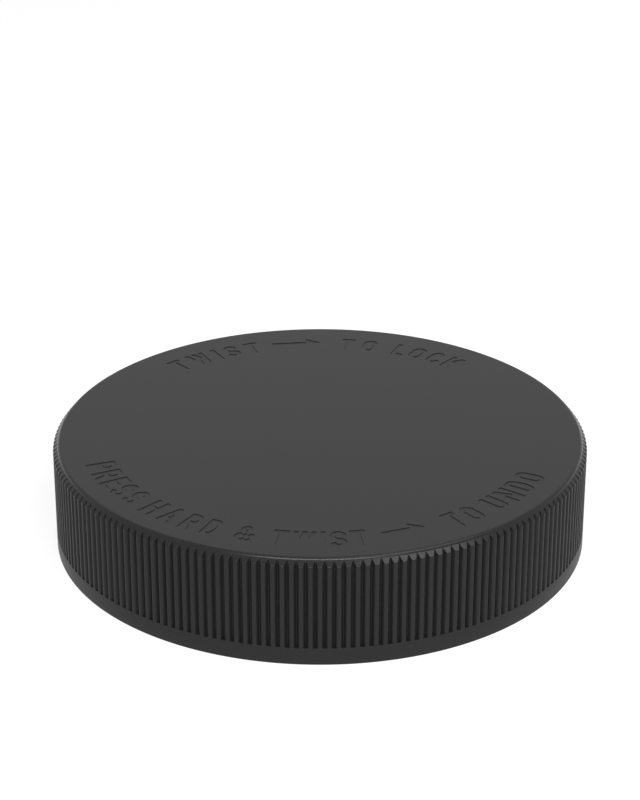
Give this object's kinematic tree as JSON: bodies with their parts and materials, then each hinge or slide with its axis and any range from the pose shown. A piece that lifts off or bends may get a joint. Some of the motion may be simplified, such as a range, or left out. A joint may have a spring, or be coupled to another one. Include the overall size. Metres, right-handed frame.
{
  "type": "child-resistant cap",
  "caption": "Push-and-turn jar cap: a ribbed shell floats on a threaded inner cap, with drive lugs, spring fingers and a sealing liner.",
  "frame": {"origin": "centre of the rim's plane, on the cap's axis; the closed cap stands on its rim", "axes": "+Z along the axis, out through the closed top; -Y faces the picture's camera"},
  "size_m": [0.096, 0.096, 0.0198],
  "materials": {
    "shell_plastic": "matte",
    "inner_plastic": "satin",
    "liner_foam": "matte"
  },
  "bodies": {
    "outer_shell": {"outer_shell": "shell_plastic"},
    "liner": {"liner": "liner_foam"},
    "inner_cap": {"inner_cap": "inner_plastic"}
  },
  "joints": [
    {"name": "push_down", "type": "slide", "parent": "outer_shell", "child": "liner", "axis": [0, 0, 1], "range_m": [0, 0.0015], "stiffness_N_per_m": 25000},
    {"name": "free_turn", "type": "hinge", "parent": "liner", "child": "inner_cap", "pos_m": [0, 0, 0], "axis": [0, 0, 1], "continuous": true}
  ]
}
